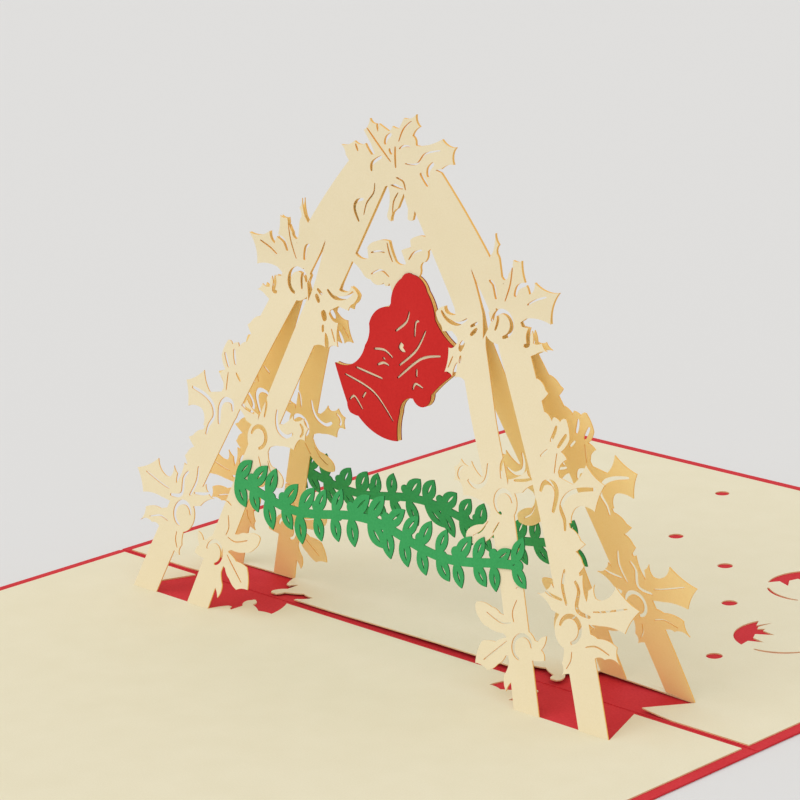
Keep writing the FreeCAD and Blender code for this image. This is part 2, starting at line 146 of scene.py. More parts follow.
class Finish(Tree):
    """Material whose nodes are added by expressions."""

    def __init__(self, name):
        self.material = bpy.data.materials.new(name)
        self.material.use_nodes = True
        super().__init__(self.material.node_tree)
        self.shader = self.nodes["Principled BSDF"]

    def noise(self, size_mm, detail):
        """Noise with features of about this size."""
        place = self.node("ShaderNodeTexCoord", out="Object")
        spot = self.node("ShaderNodeMapping", {"Vector": place, "Scale": [1 / (size_mm * MM)] * 3})
        return self.node("ShaderNodeTexNoise", {"Vector": spot, "Scale": 1.0, "Detail": detail},
                         out="Fac")

    def mix(self, factor, first, second):
        made = self.nodes.new("ShaderNodeMix")
        made.data_type = "RGBA"
        self.feed(made.inputs["Factor"], factor)
        self.feed(made.inputs[6], first)
        self.feed(made.inputs[7], second)
        return Value(self, made.outputs[2])

    def set(self, **values):
        for name, value in values.items():
            self.feed(self.shader.inputs[name.replace("_", " ")], value)
        return self

    def bump(self, height, depth_mm):
        relief = {"Height": height, "Distance": depth_mm * MM, "Strength": 1.0}
        return self.set(Normal=self.node("ShaderNodeBump", relief, out="Normal"))


def linear(red, green, blue):
    """Colour written as eight bit screen values."""
    shares = [c / 255 for c in (red, green, blue)]
    return tuple(c / 12.92 if c <= 0.04045 else ((c + 0.055) / 1.055) ** 2.4 for c in shares)


MOTTLE_SIZE = 9.0
PAPER_ROUGHNESS = 0.86
PAPER_SHINE = 0.2


def paper(name, light, dark, fibre=0.35, depth=0.03):
    """Matt paper: fibres of a length in millimetres, a soft mottle and a shallow relief."""
    finish = Finish(name)
    fibres = finish.noise(fibre, 4.0)
    clouds = finish.noise(MOTTLE_SIZE, 2.0)
    blend = (fibres - 0.5) * 0.8 + (clouds - 0.5) * 0.4 + 0.5
    finish.set(Base_Color=finish.mix(blend.between(0.1, 0.9), dark, light),
               Roughness=(fibres - 0.5) * 0.1 + PAPER_ROUGHNESS)
    finish.shader.inputs["Specular IOR Level"].default_value = PAPER_SHINE
    return finish.bump(fibres * 0.7 + clouds * 0.3, depth)


CREAM = paper("cream_paper", linear(243, 230, 198), linear(237, 223, 187))
PAGE = paper("cream_page", linear(236, 229, 203), linear(229, 221, 192))
PAGE_EDGE = paper("cream_page_cut_edge", linear(236, 212, 166), linear(222, 192, 142), fibre=0.2)
# Warm gold for the arch's inner faces: painted shade, the tone of light bounced between the two sheets;
# the card is the same cream on both sides
CREAM_INSIDE_PAINTED_SHADE = paper("cream_paper_inside_painted_shade", linear(255, 230, 166), linear(250, 222, 152))
# Lighter cream for the core seen through the bell's slits: painted light, which lifts the shade in the
# slits
CREAM_CORE_PAINTED_LIGHT = paper("cream_paper_core_painted_light", linear(255, 242, 208), linear(250, 234, 196))
# Deep gold for the arch's cut edges: painted shade of the slit walls
CREAM_EDGE_PAINTED_SHADE = paper("cream_paper_cut_edge_painted_shade", linear(246, 196, 112), linear(236, 180, 92), fibre=0.2)
RED_CARD = paper("red_card", linear(216, 58, 66), linear(198, 38, 48), fibre=0.5, depth=0.05)
RED = paper("red_paper", linear(214, 46, 44), linear(202, 36, 35), fibre=0.6, depth=0.05)
# Dark red for the bell's cut edges: painted shade along its rim
RED_EDGE_PAINTED_SHADE = paper("red_paper_cut_edge_painted_shade", linear(150, 36, 32), linear(120, 24, 22), fibre=0.2)
GREEN = paper("green_paper", linear(68, 172, 102), linear(52, 156, 86), fibre=0.45, depth=0.05)
# Dark green for the garland's cut edges: painted shade on its walls
GREEN_EDGE_PAINTED_SHADE = paper("green_paper_cut_edge_painted_shade", linear(40, 112, 62), linear(30, 96, 52), fibre=0.2)


# Flat outlines, in millimetres: across the card, and up or back

DISC_SIDES = 28


def ramp(value, start, end):
    """0 up to start, 1 from end on, straight between. End may lie below start."""
    return min(1.0, max(0.0, (value - start) / (end - start)))


def eased(share):
    return share * share * (3 - 2 * share)

def polar(centre, radius, degrees):
    turn = math.radians(degrees)
    return centre[0] + radius * math.cos(turn), centre[1] + radius * math.sin(turn)


def bowed(corners, step=0.7):
    """Closed outline: each corner has the bow of the edge after it, to its left."""
    points = []
    for i, (x, z, bow) in enumerate(corners):
        next_x, next_z, _ = corners[(i + 1) % len(corners)]
        points += arc((x, z), (next_x, next_z), bow, step)
    return points


def arc(start, end, rise, step=0.7):
    """Points from start up to end on an arc that bows to its left by rise."""
    run = Vector(end) - Vector(start)
    if abs(rise) < 1e-4 or run.length < 1e-6:
        return [tuple(start)]
    half = run.length / 2
    swing = 2 * math.atan2(abs(rise), half)
    radius = half / math.sin(swing)
    left = Vector((-run.y, run.x)).normalized() * (1 if rise > 0 else -1)
    centre = (Vector(start) + Vector(end)) / 2 + left * (abs(rise) - radius)
    steps = max(3, math.ceil(run.length / step))
    along = run.normalized()
    angles = [swing * (2 * i / steps - 1) for i in range(steps)]
    return [tuple(centre + left * (radius * math.cos(a)) + along * (radius * math.sin(a)))
            for a in angles]


def curve(points, step=0.5):
    """Smooth line through points."""
    ends = [points[0], *points, points[-1]]
    line = []
    for before, start, end, after in zip(ends, ends[1:], ends[2:], ends[3:]):
        steps = max(2, math.ceil(math.dist(start, end) / step))
        for i in range(steps):
            t = i / steps
            line.append(tuple(0.5 * (2 * b + (c - a) * t + (2 * a - 5 * b + 4 * c - d) * t * t
                                     + (3 * b - a - 3 * c + d) * t ** 3)
                              for a, b, c, d in zip(before, start, end, after)))
    return line + [tuple(points[-1])]


def stroke(points, width, ends=0.45):
    """Outline of a smooth cut through points, narrowed to its ends."""
    line = [Vector(p) for p in curve(points)]
    left, right = [], []
    for i, spot in enumerate(line):
        run = line[min(i + 1, len(line) - 1)] - line[max(i - 1, 0)]
        side = Vector((-run.y, run.x)).normalized()
        share = i / (len(line) - 1)
        half = width / 2 * (ends + (1 - ends) * math.sin(math.pi * share) ** 0.5)
        left.append(tuple(spot + side * half))
        right.append(tuple(spot - side * half))
    return left + right[::-1]


def disc(centre, radius):
    return [polar(centre, radius, 360 * i / DISC_SIDES) for i in range(DISC_SIDES)]


def mirrored(points):
    return [(-x, z) for x, z in points]


def steps(first, last, step):
    return [first + i * step for i in range(round((last - first) / step))]


# Points of an outline that lie closer than this, in millimetres, are one
JOIN_GAP = 1e-4

# Side of a face of folded paper, which is also its material slot
OUTSIDE, INSIDE, CUT_EDGE = range(3)


class Sheet:
    """One sheet of paper, drawn flat: what is kept, and what is cut away."""

    def __init__(self, seam=None):
        self.kept = []
        self.cuts = []
        self.lines = []
        self.seam = seam

    def keep(self, *outlines, low=-1000.0, high=1000.0):
        """Keeps what lies inside the outlines, between two heights."""
        self.kept += [(outline, low, high) for outline in outlines]
        return self

    def cut(self, *outlines):
        self.cuts += outlines
        return self

    def crease(self, *heights, reach=60.0, step=120.0):
        """Lines across the sheet, where it bends."""
        for height in heights:
            self.lines += [[(x, height), (x + step, height)] for x in steps(-reach, reach, step)]
        return self

    def twin(self):
        """Adds the mirror image of all that is drawn so far."""
        self.kept += [(mirrored(outline), low, high) for outline, low, high in self.kept]
        self.cuts += [mirrored(outline) for outline in self.cuts]
        return self

    def triangles(self):
        points, edges, rings = [], [], []
        for outline in [kept[0] for kept in self.kept] + self.cuts:
            area = sum(a[0] * b[1] - b[0] * a[1] for a, b in zip(outline, outline[1:] + outline[:1]))
            ring = outline if area > 0 else outline[::-1]
            rings.append(list(range(len(points), len(points) + len(ring))))
            points += ring
        for line in self.lines:
            edges.append((len(points), len(points) + 1))
            points += line
        spots, _, faces, _, _, owners = delaunay_2d_cdt([Vector(p) for p in points], edges, rings,
                                                        0, JOIN_GAP)

        def stays(face, own):
            if not own or max(own) >= len(self.kept):
                return False
            height = sum(spots[i].y for i in face) / len(face)
            return any(self.kept[i][1] < height < self.kept[i][2] for i in own)

        return spots, [face for face, own in zip(faces, owners) if stays(face, own)]

    def folded(self, inside, outside, turned=False):
        """Vertices, faces, and the side of each face, from where its two surfaces lie."""
        spots, flat = self.triangles()
        used = sorted({i for face in flat for i in face})
        order = {old: new for new, old in enumerate(used)}
        count = len(used)
        vertices = [outside(*spots[i]) for i in used] + [inside(*spots[i]) for i in used]
        faces, sides, edges = [], [], {}
        for face in flat:
            ring = [order[i] for i in face]
            faces += [ring, [i + count for i in reversed(ring)]]
            sides += [OUTSIDE, INSIDE]
            edges.update(dict.fromkeys(zip(ring, ring[1:] + ring[:1])))
        for a, b in edges:
            joins = self.seam and all(abs(spots[used[i]].y - self.seam) < 0.001 for i in (a, b))
            if (b, a) not in edges and not joins:
                faces.append([b, a, a + count, b + count])
                sides.append(CUT_EDGE)
        if turned:
            faces = [face[::-1] for face in faces]
        return vertices, faces, sides


def solid(name, node, finishes, sheets):
    """One piece from folded sheets, which stands for a node."""
    vertices, faces, sides = [], [], []
    for more_vertices, more_faces, more_sides in sheets:
        start = len(vertices)
        vertices += more_vertices
        faces += [[i + start for i in face] for face in more_faces]
        sides += more_sides
    mesh = bpy.data.meshes.new(name)
    mesh.from_pydata([Vector(v) * MM for v in vertices], [], faces)
    mesh.polygons.foreach_set("material_index", sides)
    for finish in finishes:
        mesh.materials.append(finish.material)
    whole = bmesh.new()
    whole.from_mesh(mesh)
    bmesh.ops.remove_doubles(whole, verts=whole.verts, dist=JOIN_GAP * MM)
    whole.to_mesh(mesh)
    whole.free()
    placed(mesh, name, node)


SHARP_ANGLE = 30


def placed(mesh, name, node):
    """Piece of the card from a finished mesh, which stands for a node."""
    mesh.shade_smooth()
    mesh.set_sharp_from_angle(angle=math.radians(SHARP_ANGLE))
    piece = bpy.data.objects.new(name, mesh)
    bpy.context.scene.collection.objects.link(piece)
    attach(piece, "root")
    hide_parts(node)


# Sizes of the card, as its frame has them, but for the inner legs' edges at the crotch

CARD_LENGTH = 203.6
HALF_DEPTH = 151.6
SIDE_MARGIN = 2.9
OUTER_MARGIN = 3.3
SPINE_GAP = 2.4
NOTCH_TAPER = 6.3
PAPER = 0.3
COVER = 0.4
PAGE_TOP = COVER + PAPER
LEG_TOP = 81.0
LEG_BOW = 1.5
OUTER_FOOT = (68.3, 76.6)
INNER_FOOT = (49.6, 57.0)
CROTCH = (26.8, 28.9)
CROTCH_BOW = 0.4
CROTCH_TIP = (22.6, 90.5)
BAND_IN = 17.8
SHOULDER = 37.3
CROWN_TOP = 113.8
BEND_HEIGHT = 86.0
BEND_RADIUS = 60.0
SETBACK = {"front": 15.9, "back": 12.1}

# Height of the seam, where the arch and the bell's core part, and the creases of the bend below it
SEAM = BEND_HEIGHT - PAGE_TOP
BEND_CREASES = [SEAM - i for i in range(14)]


def leg_edge(foot, top, height, bow=LEG_BOW):
    share = height / LEG_TOP
    return foot + (top - foot) * share + 4 * bow * share * (1 - share)


def outer_leg(height):
    """Middle of the right outer leg."""
    near = leg_edge(OUTER_FOOT[0], CROTCH[1], height)
    return (near + leg_edge(OUTER_FOOT[1], SHOULDER, height)) / 2


def inner_leg(height):
    """Middle of the right inner leg."""
    near = leg_edge(INNER_FOOT[0], BAND_IN, height)
    return (near + leg_edge(INNER_FOOT[1], CROTCH[0], height, CROTCH_BOW)) / 2


BERRY_RING = 2.9
BERRY_BASE = 4.3
RING = [polar((0, 0), BERRY_RING, angle) for angle in range(-80, 171, 25)]

# Sprigs drawn about their berry, with the big leaf to the right: leaves and cuts

SPRIGS = {
    "outer middle": (
        [[(1.0, 4.4, 0), (2.4, 3.7, 0), (7.0, 2.8, -0.5), (10.1, 7.9, -0.5), (16.4, 4.4, -0.4),
          (14.6, -2.0, -0.3), (10.4, -1.5, -0.5), (8.0, -3.6, -0.2), (8.0, -5.9, 0), (1.0, -6.2, 0)],
         [(1.6, 3.0, 0), (2.4, 6.3, 0.2), (4.2, 8.0, -0.2), (2.1, 9.4, -0.3), (4.2, 12.6, -0.3),
          (2.4, 16.9, -0.4), (0.7, 16.0, -0.2), (-1.4, 16.8, -0.3), (-1.7, 14.6, -0.3), (-3.4, 12.4, 0),
          (-4.5, 6.0, 0)]],
        [([(13.9, 3.0), (9.0, 1.9), (5.6, 0.0), (4.4, -2.9), (6.0, -5.6), (6.6, -8.0)], 1.1),
         ([(2.2, -4.6), (2.6, -0.5), (1.6, 1.5), (0.0, 2.0), (-1.8, 1.4), (-2.4, -0.6)], 1.3),
         ([(3.1, 13.6), (1.0, 10.1)], 0.9),
         ([(-0.2, 15.0), (-0.6, 13.2), (-1.4, 11.1)], 0.9),
         ([(1.0, 8.9), (1.0, 4.2)], 0.35),
         ([(-1.9, 9.2), (-3.9, 7.3)], 0.6)]),
    "inner middle": (
        [[(2.0, 5.0, 0), (8.5, 4.9, -0.3), (12.2, 8.0, -0.4), (13.2, 6.6, -0.3), (16.2, 7.9, -0.5),
          (18.4, 5.6, -0.4), (17.7, 2.3, -0.2), (15.5, 2.2, -0.3), (14.0, -0.8, -0.3),
          (8.5, -0.8, -0.3), (4.6, -1.9, 0), (1.0, -1.0, 0)],
         [(3.4, -1.6, 0), (4.4, -3.6, -0.4), (6.3, -6.6, 0.4), (10.8, -8.6, 0.5), (11.0, -11.4, 0.3),
          (7.2, -11.6, 0.5), (2.4, -8.4, 0.3), (-0.6, -4.0, 0)],
         [(-1.0, 2.2, 0), (-5.6, 3.6, -0.5), (-10.0, 6.6, -0.4), (-7.4, 7.6, -0.3), (-6.2, 9.2, -0.5),
          (-1.0, 5.9, 0)]],
        [(RING, 1.15),
         ([(5.9, 8.5), (6.1, 5.5), (7.4, 3.2), (10.3, 2.1), (13.0, 3.3)], 1.1),
         ([(15.1, 6.3), (16.3, 5.3), (16.5, 3.9), (15.7, 2.9)], 0.8),
         ([(0.5, 11.5), (1.6, 9.0), (1.3, 5.6)], 0.7),
         ([(-2.7, 6.0), (-6.0, 6.7), (-8.0, 7.5)], 0.7),
         ([(0.9, -4.9), (2.6, -8.0)], 0.35),
         ([(4.6, -5.4), (6.4, -8.2), (9.0, -9.9)], 0.35)]),
    "outer foot": (
        [[(0.5, 5.6, 0), (4.1, 6.2, -0.2), (4.4, 8.9, -0.2), (6.0, 10.4, -0.4), (6.6, 7.5, -0.3),
          (9.2, 7.6, -0.5), (12.0, 10.6, -0.5), (19.0, 6.4, -0.4), (15.4, 1.2, -0.4), (8.5, 1.9, -0.2),
          (1.0, 1.2, 0)],
         [(-1.0, 2.2, 0), (-5.6, 3.6, -0.5), (-10.0, 6.6, -0.4), (-7.4, 7.6, -0.3), (-6.2, 9.2, -0.5),
          (-1.0, 5.9, 0)],
         [(-2.2, 3.6, 0.2), (-2.0, 11.8, -0.4), (2.6, 12.0, -0.5), (4.4, 6.2, 0.3), (3.6, 3.0, 0)],
         [(2.4, -1.0, 0.8), (8.0, -0.9, 0.5), (13.5, -2.0, -0.5), (14.6, -5.6, -0.7), (10.4, -5.0, -0.6),
          (7.0, -5.6, -0.6), (2.4, -4.9, 0)],
         [(3.4, -3.0, 0.5), (2.6, -9.6, -0.4), (-1.3, -9.9, -0.5), (-1.6, -7.4, -0.3), (-1.4, -3.6, 0)]],
        [(RING, 1.15),
         ([(0.5, 10.5), (1.8, 8.5), (1.5, 5.2), (2.6, 3.9), (5.6, 3.3)], 1.0),
         ([(6.2, 4.6), (9.2, 5.0), (15.6, 6.4)], 0.4),
         ([(-2.7, 6.0), (-6.0, 6.7), (-8.0, 7.5)], 0.7),
         ([(4.8, -3.1), (7.8, -2.6), (11.6, -3.9)], 0.35),
         ([(1.0, -4.6), (0.9, -6.6), (-0.2, -8.4)], 0.35),
         ([(-2.6, 12.6), (-2.9, 9.0), (-1.3, 5.0)], 0.8)]),
    "inner foot": (
        [[(2.0, 5.6, 0), (8.3, 6.3, 0.3), (11.2, 7.2, 0.4), (15.9, 7.4, 0.2), (16.2, 6.2, 0.3),
          (14.5, 3.8, 0.3), (11.7, 2.4, 0.3), (6.4, 2.0, 0), (2.0, 0.0, 0)],
         [(2.6, 2.4, 0), (4.3, 1.4, 0.3), (8.5, -0.5, 0.2), (12.7, -1.2, 0.4), (13.9, -6.7, -0.3),
          (9.8, -7.5, 0.3), (6.8, -5.4, 0.3), (4.8, -3.0, 0), (1.6, -1.6, 0)],
         [(0.6, -1.6, 0), (3.4, -3.6, -0.3), (4.4, -7.4, 0.4), (3.2, -11.0, -0.2), (2.0, -8.6, -0.4),
          (-0.8, -9.0, 0)],
         [(-1.0, 2.6, 0), (-4.6, 2.4, -0.4), (-6.8, 4.2, -0.4), (-5.8, 0.8, -0.4), (-7.2, -1.4, -0.4),
          (-1.0, -2.0, 0)]],
        [(RING, 1.0),
         ([(3.6, 10.4), (4.4, 7.4), (3.6, 5.2)], 0.35),
         ([(4.4, 4.9), (7.6, 4.3), (12.4, 5.7)], 0.35),
         ([(4.9, 0.5), (7.8, -2.2), (11.4, -5.4)], 0.35),
         ([(0.4, 12.6), (2.4, 13.8), (4.4, 13.0)], 0.35)]),
}


def add_sprig(sheet, kind, x, z, scale, turn=0.0, flip=False):
    """Holly sprig about its berry, turned, and flipped where its big leaf is to the left."""
    cosine, sine = math.cos(math.radians(turn)), math.sin(math.radians(turn))
    side = -1 if flip else 1
    leaves, cuts = SPRIGS[kind]

    def spot(across, up):
        return (x + side * (across * cosine - up * sine) * scale,
                z + (across * sine + up * cosine) * scale)

    for corners in leaves:
        sheet.keep(bowed([(*spot(u, v), bow * scale * side) for u, v, bow in corners]))
    sheet.keep(disc((x, z), BERRY_BASE * scale))
    for points, width in cuts:
        sheet.cut(stroke([spot(u, v) for u, v in points], width * math.sqrt(scale)))


def add_sprigs(sheet):
    """Sprigs of the right half's legs: middle and foot of each."""
    add_sprig(sheet, "outer middle", outer_leg(47.3) + 0.2, 47.3, 0.92)
    add_sprig(sheet, "inner middle", inner_leg(42.4) + 1.2, 42.4, 0.87, flip=True)
    add_sprig(sheet, "outer foot", outer_leg(19.7) - 1.9, 20.0, 0.98, turn=5)
    add_sprig(sheet, "inner foot", inner_leg(13.3) + 0.9, 13.3, 0.92, flip=True)


# Thorns on the right outer leg: height and reach
THORNS = ((66.5, 3.0), (60.0, 2.0), (37.5, 4.6), (33.0, 2.0))


def thorns():
    shapes = []
    for height, reach in THORNS:
        root = leg_edge(OUTER_FOOT[1], SHOULDER, height) - 1.6
        tip = root + 2 + 0.6 * reach
        shapes.append(bowed([(root, height - 2.6, -0.3), (tip, height + 0.8, 0),
                             (tip - 0.3 * reach, height + 1.4, -0.4), (root, height + 3.4, 0)]))
    return shapes


def add_shoulder(sheet):
    """Leaves about the right shoulder, with the spur above and the slit between the legs."""
    sheet.keep(
        # Spur
        bowed([(28.0, 93.5, 0), (29.3, 95.2, -0.2), (30.0, 99.4, -0.3), (31.0, 97.0, -0.3),
               (30.4, 95.0, 0.2), (31.2, 93.2, 0), (31.6, 90.8, -0.4), (32.8, 89.4, 0),
               (30.0, 86.0, 0)]),
        # Upper leaf
        bowed([(31.4, 86.0, 0), (32.6, 89.5, -0.4), (33.8, 91.0, -0.3), (35.2, 94.2, -0.3),
               (37.6, 94.4, -0.3), (38.6, 89.7, 0.2), (37.2, 84.0, 0)]),
        # Big leaf
        bowed([(33.0, 86.0, 0), (38.6, 89.7, 0.2), (39.8, 87.4, -0.6), (41.4, 90.2, -0.8),
               (48.4, 89.0, -0.8), (46.0, 81.8, -0.5), (39.0, 82.0, 0), (36.0, 80.0, 0)]),
        # Lower outer leaf
        bowed([(37.6, 80.0, 0), (40.6, 80.0, 0.3), (41.4, 77.0, -0.3), (43.9, 77.4, -0.3),
               (45.6, 75.8, -0.3), (42.4, 74.8, -0.2), (38.0, 72.0, 0)]),
        # Leaf towards the bell
        bowed([(24.0, 80.0, 0), (21.8, 79.0, 0.3), (19.2, 80.0, -0.3), (16.4, 79.4, -0.3),
               (14.7, 81.0, -0.5), (12.3, 79.2, 0.3), (13.6, 77.2, 0.2), (15.1, 75.4, -0.3),
               (18.4, 75.9, 0), (24.0, 73.0, 0)][::-1]),
        # Leaves that droop beside the bell
        bowed([(23.0, 77.0, 0), (20.6, 73.2, -0.3), (17.8, 72.2, -0.4), (17.0, 66.9, -0.4),
               (19.9, 66.3, -0.4), (21.0, 69.2, -0.3), (24.0, 71.0, 0), (26.0, 75.0, 0)][::-1]),
        bowed([(22.0, 74.0, 0), (21.3, 70.6, -0.3), (20.9, 66.2, -0.4), (24.6, 66.0, -0.4),
               (26.2, 69.6, 0), (26.6, 73.6, 0)][::-1]),
        disc((31.9, 79.6), 4.4),
        disc((25.4, 76.6), 3.4),
    )
    ring = [polar((32.1, 79.6), BERRY_RING, angle) for angle in range(-75, 181, 25)]
    for points, width in (
            (ring, 1.2),
            ([(30.2, 82.9), (30.9, 80.6), (30.6, 78.0)], 0.7),
            ([(28.1, 88.8), (29.4, 87.9), (30.1, 84.9)], 0.9),
            ([(35.0, 93.0), (34.4, 89.2), (33.4, 86.4), (32.7, 84.8)], 0.4),
            ([(35.6, 86.3), (36.6, 88.5), (38.9, 89.5)], 1.1),
            ([(39.2, 85.0), (41.6, 86.4), (44.8, 87.6)], 0.45),
            ([(38.6, 81.6), (40.4, 80.6), (39.8, 78.4), (40.0, 76.4), (38.8, 76.1)], 1.2),
            ([(13.9, 79.9), (15.4, 78.6), (17.6, 77.8), (20.2, 77.8), (22.3, 79.2)], 0.9),
            ([(23.8, 77.7), (25.6, 78.9)], 0.8),
            ([(24.6, 75.8), (25.9, 77.6)], 1.1),
            ([(22.0, 72.0), (22.6, 73.2), (23.3, 74.2)], 1.6),
            ([(22.6, 71.1), (22.3, 69.4)], 0.8),
            ([(18.1, 67.9), (19.7, 70.6)], 0.4)):
        sheet.cut(stroke(points, width))
    # Slit that parts the two legs up to the band
    sheet.cut([(22.7, 90.8), (CROTCH[0] - 0.1, 79.6), (28.2, 75.6), (CROTCH[1] + 0.1, 79.6)])


def arch_sheet():
    """Arch of one leaf, flat: bands, sprigs, crown and the leaves that hold the bell."""
    sheet = Sheet(SEAM)
    sheet.keep(bowed([
        (0, CROWN_TOP, 0), (14.0, CROWN_TOP - 3.2, 0.9), (SHOULDER, LEG_TOP, LEG_BOW),
        (OUTER_FOOT[1], -PAPER, 0), (OUTER_FOOT[0], -PAPER, -LEG_BOW), (CROTCH[1], LEG_TOP, 0),
        (*CROTCH_TIP, 0), (CROTCH[0], LEG_TOP, CROTCH_BOW), (INNER_FOOT[1], -PAPER, 0),
        (INNER_FOOT[0], -PAPER, -LEG_BOW), (BAND_IN, LEG_TOP, 0), (3.2, 105.5, 0), (0, 106.5, 0),
    ], step=4.0))
    sheet.keep(*thorns())
    add_sprigs(sheet)
    add_shoulder(sheet)
    sheet.twin()
    add_crown(sheet)
    add_bridge(sheet, low=SEAM)
    return sheet.crease(*BEND_CREASES)


def add_crown(sheet):
    """Leaves on the arch's point."""
    sheet.keep(
        bowed([(4.0, 108.0, 0), (14.0, 111.4, -0.3), (17.8, 112.8, -0.4), (18.6, 116.7, -0.7),
               (14.4, 118.0, -0.6), (7.6, 115.7, -0.3), (2.0, 116.0, 0)][::-1]),
        bowed([(6.0, 112.0, 0), (6.4, 116.0, 0.4), (5.4, 117.8, 0.4), (7.7, 120.0, -0.3),
               (6.6, 122.6, -0.5), (2.8, 121.4, -0.5), (1.4, 119.0, 0), (-2.0, 113.0, 0)][::-1]),
        bowed([(3.0, 112.0, 0), (1.5, 119.0, -0.3), (-0.8, 119.2, -0.2), (-2.0, 118.0, -0.3),
               (-5.0, 119.3, 0), (-5.3, 117.4, 0), (-5.8, 119.2, -0.2), (-7.8, 120.2, -0.4),
               (-9.8, 117.4, -0.5), (-7.6, 114.6, 0), (-5.0, 110.0, 0)][::-1]),
        bowed([(-6.0, 111.0, 0), (-9.4, 114.4, -0.3), (-12.8, 114.6, -0.5), (-17.0, 113.3, -0.4),
               (-15.6, 111.2, -0.3), (-12.0, 107.0, 0)][::-1]),
        bowed([(-3.0, 106.5, -0.4), (-1.8, 103.0, -0.4), (-2.6, 99.4, -0.2), (-1.6, 97.8, 0.5),
               (0.6, 101.0, -0.6), (3.0, 105.5, 0)][::-1]),
        bowed([(2.2, 106.0, 0.4), (3.8, 101.4, 0.2), (3.6, 99.0, 0), (5.2, 99.0, 0.3),
               (6.0, 101.8, 0), (6.0, 105.0, 0)][::-1]),
    )
    for points, width in (
            ([(0.0, 114.8), (-0.05, 112.4), (0.1, 110.0)], 0.6),
            ([(-7.4, 108.4), (-7.2, 110.2), (-4.2, 112.1)], 0.9),
            ([(-12.5, 114.0), (-11.7, 112.4)], 0.6),
            ([(3.0, 111.3), (6.6, 111.7), (9.2, 114.2), (13.8, 115.5)], 0.4),
            ([(1.2, 114.4), (2.6, 115.2), (4.6, 115.3)], 0.45),
            ([(1.1, 116.0), (2.6, 118.9), (5.2, 121.0)], 0.4),
            ([(-3.2, 114.9), (-2.6, 116.4), (-1.1, 117.5)], 1.0),
            ([(-1.9, 114.1), (-1.1, 112.9)], 0.9),
            ([(7.6, 109.8), (9.9, 107.1)], 0.9),
            ([(10.0, 109.2), (10.2, 110.9), (11.8, 112.5)], 1.1),
            ([(-9.0, 118.2), (-5.2, 114.6), (-1.4, 111.2)], 0.5),
            ([(-6.4, 105.9), (-6.8, 103.6), (-9.0, 101.0), (-10.0, 98.2)], 0.4),
            ([(-10.0, 101.8), (-12.2, 101.0), (-12.9, 99.2), (-11.6, 96.4)], 0.8),
            ([(-1.0, 99.6), (-0.6, 102.4), (0.8, 104.6)], 0.4),
            ([(0.2, 107.9), (2.3, 107.3), (3.1, 105.4)], 0.5)):
        sheet.cut(stroke(points, width))


# Where a flat sheet goes

def wall(side):
    """Section of an arch: how far out and how steep it is at a height."""
    setback = SETBACK[side]
    across, rise = BEND_RADIUS - setback, COVER - BEND_HEIGHT
    tilt = math.atan2(-rise, across) - math.acos(BEND_RADIUS / math.hypot(across, rise))
    knee = BEND_HEIGHT - BEND_RADIUS * math.sin(tilt)
    knee_out = BEND_RADIUS * (1 - math.cos(tilt))

    def section(height):
        if height >= BEND_HEIGHT:
            return 0.0, 0.0
        if height >= knee:
            angle = math.asin((BEND_HEIGHT - height) / BEND_RADIUS)
            return BEND_RADIUS * (1 - math.cos(angle)), angle
        return knee_out + (knee - height) * math.tan(tilt), tilt

    return section


# How the arch stands off its drawing: to one side, and leaning along the spine
ARCH_SHIFT = -1.15
ARCH_LEAN = 1.8 / 113.8

# The right inner leg bends inwards, over this reach beside it and from this height up
RIGHT_LEG_SLIP = 2.0
RIGHT_LEG_REACH = 14.0
SLIP_FROM, SLIP_FULL = 40.0, 58.0
SLIP_END = LEG_TOP * 11 / 12

# How far each half of the bell and of the left band stands from the middle
BELL_SPREAD = 0.2
BELL_SPREAD_DROP = 12.0
BAND_SPREAD = 0.25
BAND_SPREAD_FROM, BAND_SPREAD_FULL = 8.0, -8.0

# How far the back page has come off the cover, about the feet and the spine between them
PAGE_LIFT = 0.85
LIFT_ENDS = (78.0, 68.0)
LIFT_DEPTH = (30.0, 13.0)
LIFT_FADE = (-54.0, 6.0)
LIFT_LEAST = 0.45

# Height on a back leg up to which it is raised with the page
LIFTED_FOOT = 20.0


def leaning(x, z):
    """Where a point of the arch lies across the card, with its shift, lean and bent leg."""
    slip = 0.0
    if z < LEG_TOP:
        beside = ramp(abs(x - inner_leg(z)), RIGHT_LEG_REACH, 0)
        slip = eased(beside) * ramp(z, LEG_TOP, SLIP_END) * ramp(z, SLIP_FROM, SLIP_FULL)
    return x + ARCH_SHIFT + ARCH_LEAN * z - RIGHT_LEG_SLIP * slip


def lift(x, y):
    """Height of the back page off the cover."""
    share = max(LIFT_LEAST, ramp(x, *LIFT_FADE))
    return PAGE_LIFT * share * eased(ramp(abs(x), *LIFT_ENDS)) * eased(ramp(y, *LIFT_DEPTH))


def on_wall(side, outset):
    """Bends a point of the flat arch, at an outset from its inner face."""
    section, sign = wall(side), -1 if side == "front" else 1

    def place(x, z):
        out, tilt = section(z + PAGE_TOP)
        out += (BAND_SPREAD * math.sin(math.pi * ramp(z, SEAM, CROWN_TOP))
                * ramp(x, BAND_SPREAD_FROM, BAND_SPREAD_FULL))
        across = leaning(x, z)
        rise = lift(across, SETBACK[side]) * max(0.0, 1 - z / LIFTED_FOOT) if side == "back" else 0.0
        return (across, sign * (out + outset * math.cos(tilt)),
                max(COVER, z + PAGE_TOP + outset * math.sin(tilt)) + rise)
    return place


def hanging(side, outset):
    """Hangs a point of a bell's half from the seam, a little apart from the other half."""
    sign = -1 if side == "front" else 1

    def place(x, z):
        spread = BELL_SPREAD * math.sin(ramp(z, SEAM, SEAM - BELL_SPREAD_DROP) * math.pi / 2)
        return leaning(x, z), sign * (outset + spread), z + PAGE_TOP
    return place


# Bell, garland and pages

BELL_X = -0.1
BELL_CUT_WIDTH = 0.62
BRIDGE_CUT_WIDTH = 0.45


